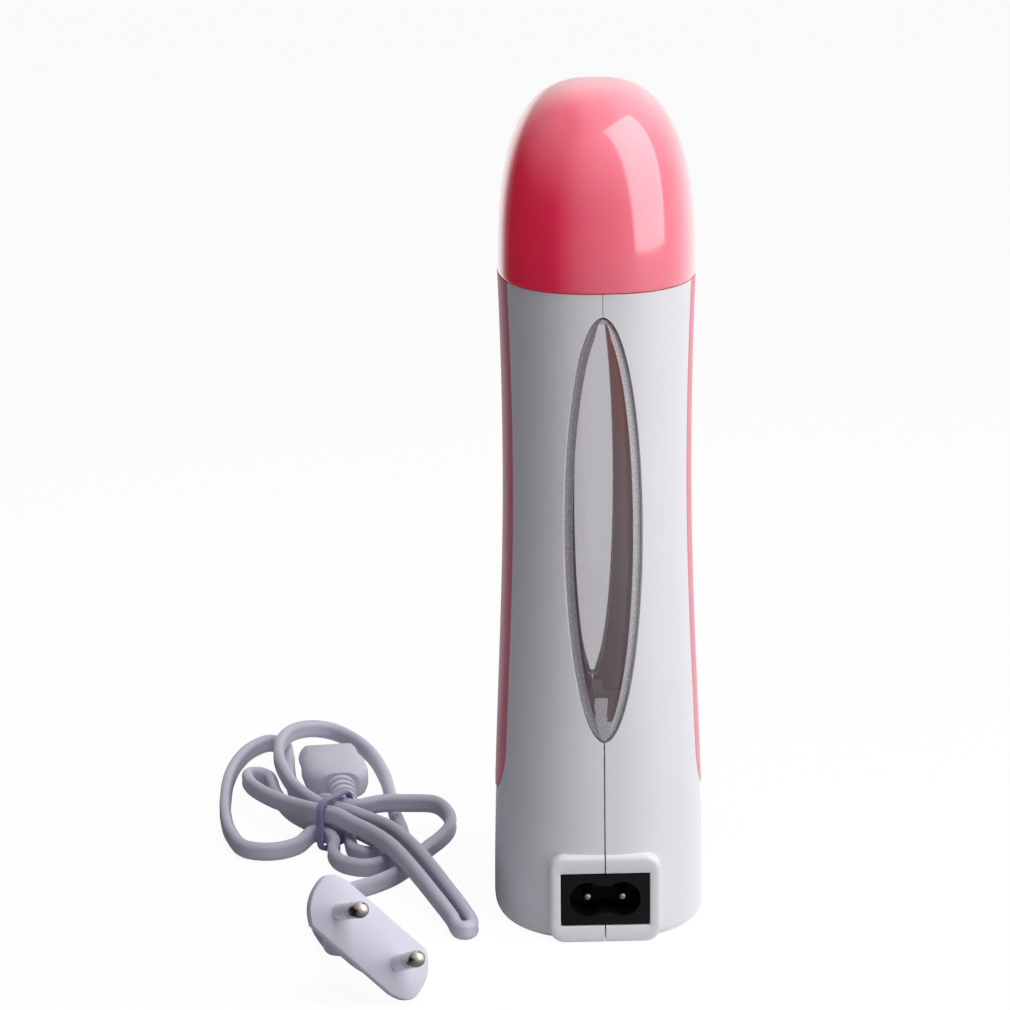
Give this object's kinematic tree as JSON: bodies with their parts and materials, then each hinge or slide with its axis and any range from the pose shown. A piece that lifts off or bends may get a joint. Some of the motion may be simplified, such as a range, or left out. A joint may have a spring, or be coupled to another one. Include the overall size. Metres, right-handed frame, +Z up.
{
  "type": "roll on wax heater",
  "caption": "Upright roll-on wax heater: waisted moulded shell with a domed cap, side grips, lens windows onto its heated chamber, a mains inlet at the foot and a loosely tied mains lead.",
  "frame": {"origin": "on the floor, in the middle of the heater's foot", "axes": "+Z up, -Y towards the front with the inlet, +X to the right seen from the front"},
  "size_m": [0.1219, 0.2136, 0.2078],
  "materials": {
    "shell_white": "satin moulded plastic, white with a cool tint",
    "cap_pink": "glossy pink plastic",
    "grip_pink": "satin pink plastic",
    "window_smoke": "clear smoke-grey plastic",
    "plate_metal": "dull formed sheet",
    "inlet_black": "black moulded plastic",
    "nickel": "nickel-plated, polished",
    "heater_case": "plain cased element",
    "spring_steel": "plain steel",
    "wire_red": "insulated wire",
    "lead_vinyl": "white vinyl with a lavender tint",
    "plug_vinyl": "white moulded vinyl",
    "tie_vinyl": "thin violet tie"
  },
  "bodies": {
    "heater": {"left_shell": "shell_white", "right_shell": "shell_white", "left_grip": "grip_pink", "right_grip": "grip_pink", "front_window": "window_smoke", "rear_window": "window_smoke", "chamber_collar": "grip_pink", "chamber_floor": "plate_metal", "left_heat_plate": "plate_metal", "right_heat_plate": "plate_metal", "left_ptc_heater": "heater_case", "right_ptc_heater": "heater_case", "left_heater_clip": "spring_steel", "right_heater_clip": "spring_steel", "thermal_fuse": "heater_case", "inlet_body": "inlet_black", "inlet_pin_left": "nickel", "inlet_pin_right": "nickel", "left_wire": "wire_red", "right_wire": "wire_red", "case_screw_1": "spring_steel", "case_screw_2": "spring_steel", "lead_hank": "lead_vinyl", "lead_tie": "tie_vinyl", "connector_body": "plug_vinyl", "connector_relief": "plug_vinyl", "plug_body": "plug_vinyl", "plug_pin_left": "nickel", "plug_pin_right": "nickel", "plug_sleeve_left": "plug_vinyl", "plug_sleeve_right": "plug_vinyl", "plug_relief": "plug_vinyl", "lead_connector_run": "lead_vinyl", "lead_plug_run": "lead_vinyl"},
    "cap_body": {"cap": "cap_pink"}
  },
  "joints": [
    {"name": "cap_lift", "type": "slide", "parent": "heater", "child": "cap_body", "axis": [0, 0, 1], "range_m": [0, 0.06]}
  ]
}
